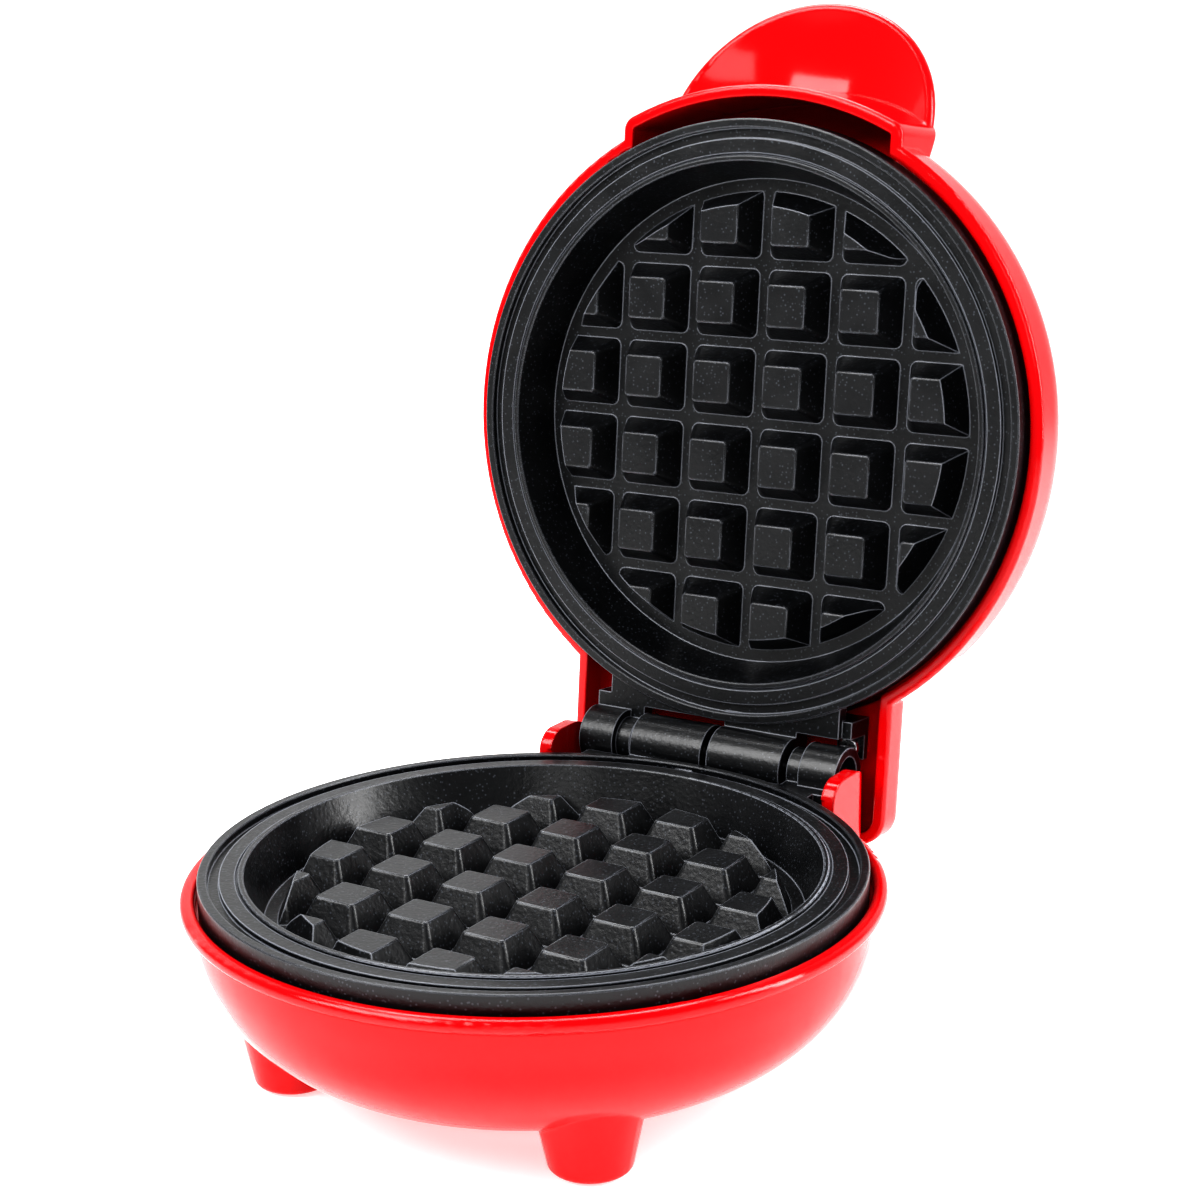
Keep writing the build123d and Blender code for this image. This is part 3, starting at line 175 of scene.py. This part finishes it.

# %% [markdown]
# ## The cooking plates
#
# Each plate is cast aluminium, sprayed with a charcoal non-stick coat and baked. The coat is a
# soft satin with a fine orange peel and tiny bright specks of mineral filler. Its edges are
# painted a lighter grey: a painted highlight where the edges catch the light, and partly the coat
# pulled thin over them.

# %% Cast aluminium with a charcoal non-stick coat
def non_stick_cast():
    cloud_size = 9 * mm
    speck_spacing = 0.9 * mm
    peel_size = 0.9 * mm
    edge_radius = 0.45 * mm
    material, tree, surface, place = new_material(
        "cast_aluminium_with_charcoal_non_stick", linear("#191A1D"),
        Roughness=0.33, IOR=1.5, Coat_Weight=0.08, Coat_Roughness=0.2, Specular_IOR_Level=0.36,
    )
    cloud = add(tree, "ShaderNodeTexNoise", Vector=place, Scale=1 / cloud_size, Detail=4.0).outputs[0]
    body = shade_between(tree, cloud, linear("#0B0C0E"), linear("#131416"))
    cells = add(tree, "ShaderNodeTexVoronoi", Vector=place, Scale=1 / speck_spacing).outputs["Distance"]
    speckled = shade_between(tree, cells, linear("#3C3F45"), body, 0.12, 0.26)
    rounded = add(tree, "ShaderNodeBevel", {"samples": 6}, Radius=edge_radius).outputs[0]
    flat = add(tree, "ShaderNodeNewGeometry").outputs["True Normal"]
    # Painted highlight: at every edge, where the rounded normal leaves the true one, the colour turns a
    # lighter grey, partly also the coat worn thin there.
    edge_highlight_mask = add(tree, "ShaderNodeVectorMath", {"operation": "DOT_PRODUCT"}, _0=rounded, _1=flat)
    painted_edge_highlight = shade_between(tree, edge_highlight_mask.outputs["Value"], linear("#858890"), speckled, 0.94, 0.985)
    tree.links.new(painted_edge_highlight, surface.inputs["Base Color"])
    satin = add(tree, "ShaderNodeMapRange", _0=cloud, _1=noise_low, _2=noise_high, _3=0.29, _4=0.37)
    tree.links.new(satin.outputs[0], surface.inputs["Roughness"])
    peel = add(tree, "ShaderNodeTexNoise", Vector=place, Scale=1 / peel_size, Detail=3.0).outputs[0]
    bumps = add(tree, "ShaderNodeBump", Height=peel, Strength=0.6, Distance=0.12 * mm, Normal=rounded)
    tree.links.new(bumps.outputs[0], surface.inputs["Normal"])
    return material


non_stick = non_stick_cast()
print(non_stick.name)

# %% [markdown]
# ## Metals, rubber, ceramic and glass inside
#
# The pin and the screws are zinc-plated steel, drawn or headed, with fine scratches round them.
# The heating tube is an aluminium sheath gone dull with heat, and the pan under it is bright
# tinned sheet. Pads and bush are black rubber. The beads, the block and the lamp's holder are
# unglazed steatite, a chalky off-white.

# %% The small materials
def worn_metal(name, colour, dark, roughness, grain_mm, scratch):
    """A bare metal: a base colour clouded with a darker one, and a fine stretched scratch grain."""
    material, tree, surface, place = new_material(name, linear(colour), Metallic=1.0, Roughness=roughness)
    cloud = add(tree, "ShaderNodeTexNoise", Vector=place, Scale=1 / (6 * mm), Detail=5.0).outputs[0]
    tone = shade_between(tree, cloud, linear(dark), linear(colour), end=0.65)
    tree.links.new(tone, surface.inputs["Base Color"])
    stretched = add(tree, "ShaderNodeMapping", Vector=place, Scale=(0.12, 1.0, 1.0)).outputs[0]
    grain_size = grain_mm * mm
    grain = add(tree, "ShaderNodeTexNoise", Vector=stretched, Scale=1 / grain_size, Detail=3.0).outputs[0]
    rough = add(
        tree, "ShaderNodeMapRange", _0=grain, _1=0.25, _2=0.75, _3=roughness - 0.08, _4=roughness + 0.1)
    tree.links.new(rough.outputs[0], surface.inputs["Roughness"])
    bump = add(tree, "ShaderNodeBump", Height=grain, Strength=scratch, Distance=0.02 * mm).outputs[0]
    tree.links.new(bump, surface.inputs["Normal"])
    return material


def dull_solid(name, colour, light, roughness, grain_mm, depth, **shader):
    """An unpolished solid: two close shades in soft patches and a fine all-round grain."""
    material, tree, surface, place = new_material(name, linear(colour), Roughness=roughness, **shader)
    cloud = add(tree, "ShaderNodeTexNoise", Vector=place, Scale=1 / (5 * mm), Detail=4.0).outputs[0]
    tone = shade_between(tree, cloud, linear(colour), linear(light))
    tree.links.new(tone, surface.inputs["Base Color"])
    grain_size = grain_mm * mm
    grain = add(tree, "ShaderNodeTexNoise", Vector=place, Scale=1 / grain_size, Detail=2.0).outputs[0]
    bump = add(tree, "ShaderNodeBump", Height=grain, Strength=depth, Distance=0.05 * mm).outputs[0]
    tree.links.new(bump, surface.inputs["Normal"])
    return material


def clear_moulding(name, colour, **shader):
    """A clear moulded or blown piece, with a faint ripple that bends what shows through it."""
    material, tree, surface, place = new_material(
        name, linear(colour), Roughness=0.08, IOR=1.49, Transmission_Weight=0.85, **shader)
    flow = add(tree, "ShaderNodeTexNoise", Vector=place, Scale=1 / (3 * mm), Detail=1.0).outputs[0]
    bump = add(tree, "ShaderNodeBump", Height=flow, Strength=0.1, Distance=0.1 * mm).outputs[0]
    tree.links.new(bump, surface.inputs["Normal"])
    return material


steel = worn_metal("zinc_plated_drawn_steel", "#C9CACC", "#9A9B9F", 0.28, 0.25, 0.25)
sheath = worn_metal("heat_dulled_aluminium_sheath", "#A9A7A2", "#77746F", 0.45, 0.4, 0.2)
tinned = worn_metal("bright_tinned_sheet_steel", "#D6D6D4", "#B4B4B2", 0.22, 0.6, 0.15)
fuse_case = worn_metal("nickel_plated_fuse_case", "#D8CDB4", "#B3A88F", 0.25, 0.3, 0.15)
rubber = dull_solid("moulded_black_rubber", "#0E0E0F", "#1A1A1B", 0.75, 0.3, 0.35)
steatite = dull_solid("unglazed_steatite", "#D8D2C4", "#E9E4D9", 0.85, 0.2, 0.3)
phenolic = dull_solid("pressed_phenolic", "#1B1410", "#2A211B", 0.45, 0.4, 0.2)
sleeve = dull_solid("braided_glass_sleeve", "#DEDBD0", "#F1EFE8", 0.8, 0.35, 0.6)
clear_lens = clear_moulding("clear_moulded_lens", "#F6EFEA")
lamp_glass = clear_moulding("neon_lamp_glass", "#FFD9C4")
print("small materials:", len(bpy.data.materials))

# %% [markdown]
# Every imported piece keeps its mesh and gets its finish, by the material slot that its record names.

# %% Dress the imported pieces
finishes = {
    "shell": red_abs, "casting": non_stick, "pad": rubber, "tube": sheath, "ceramic": steatite,
    "steel": steel, "shield": tinned, "thermostat": phenolic, "fuse": fuse_case, "lead": sleeve,
    "bush": rubber, "lens": clear_lens, "lamp": lamp_glass,
}
for piece in frame["record"]["subparts"]:
    node = nodes[piece["node"]]
    node.data.materials.clear()
    node.data.materials.append(finishes[piece["material_slot"]])
print("dressed", len(nodes), "nodes")

# %% [markdown]
# ## Studio
#
# The photograph was taken in a white tent: a big soft light from the left and above, a second one
# on the right that draws the long pink streak down the lid, and a white floor and back wall.

# %% Floor and lights
def studio_sweep(width, depth, rise, bend, steps=48):
    """A floor that curves up into a back wall: y runs back, then follows a quarter circle, then goes up."""
    angle = np.linspace(0, math.pi / 2, steps)
    y = np.concatenate(([-depth], depth - bend + bend * np.sin(angle), [depth]))
    z = np.concatenate(([0.0], bend - bend * np.cos(angle), [rise]))
    n = len(y)
    points = np.zeros((n, 2, 3))
    points[:, 0, 0], points[:, 1, 0] = -width, width
    points[:, :, 1], points[:, :, 2] = y[:, None], z[:, None]
    row = np.arange(n - 1) * 2
    faces = np.stack([row, row + 1, row + 3, row + 2], 1)
    mesh = bpy.data.meshes.new("studio_sweep")
    mesh.from_pydata(points.reshape(-1, 3).tolist(), [], faces.tolist())
    mesh.polygons.foreach_set("use_smooth", np.ones(len(faces), bool))
    return mesh


sweep = bpy.data.objects.new("studio_sweep", studio_sweep(3.0, 2.2, 3.0, 0.8))
sweep.rotation_euler.z = view_azimuth
bpy.context.scene.collection.objects.link(sweep)
paper, paper_tree, paper_surface, paper_place = new_material(
    "white_paper_sweep", grey(0.86), Roughness=0.9, Emission_Color=grey(1.0), Emission_Strength=0.45)
fibre_size = 4 * mm
fibres = add(paper_tree, "ShaderNodeTexNoise", Vector=paper_place, Scale=1 / fibre_size, Detail=2.0).outputs[0]
paper_white = shade_between(paper_tree, fibres, grey(0.85), grey(0.87))
paper_tree.links.new(paper_white, paper_surface.inputs["Base Color"])
sweep.data.materials.append(paper)


def softbox(name, place, target, width, height, power):
    """A rectangular area light, aimed at a point."""
    data = bpy.data.lights.new(name, "AREA")
    data.shape = "RECTANGLE"
    data.size, data.size_y = width, height
    data.energy = power
    light = bpy.data.objects.new(name, data)
    light.location = place
    light.rotation_euler = (Vector(target) - Vector(place)).to_track_quat("-Z", "Y").to_euler()
    bpy.context.scene.collection.objects.link(light)
    return light


middle = base_centre + Vector((0, 0.03, 0.04))


def around(azimuth, elevation, distance):
    """A place seen from the middle of the object: azimuth counted from the camera's side, to the right."""
    a = view_azimuth + math.radians(azimuth)
    e = math.radians(elevation)
    return middle + distance * Vector((math.sin(a) * math.cos(e), -math.cos(a) * math.cos(e), math.sin(e)))


softbox("key_box", around(-62, 42, 0.9), middle, 0.5, 0.5, 9)
softbox("right_strip", around(80, 25, 0.8), middle, 0.16, 0.8, 8.0)
softbox("top_box", around(185, 62, 0.9), middle, 0.6, 0.4, 9)
softbox("front_fill", around(-12, 22, 1.3), middle, 0.5, 0.3, 2.0)
world = bpy.data.worlds.new("white_tent")
world.use_nodes = True
world.node_tree.nodes["Background"].inputs[0].default_value = grey(1.0)
world.node_tree.nodes["Background"].inputs[1].default_value = 0.32
bpy.context.scene.world = world
bpy.context.scene.view_settings.view_transform = "Standard"
bpy.context.scene.view_settings.look = "High Contrast"
bpy.context.scene.view_settings.exposure = -0.15
print("lights:", len(bpy.data.lights))
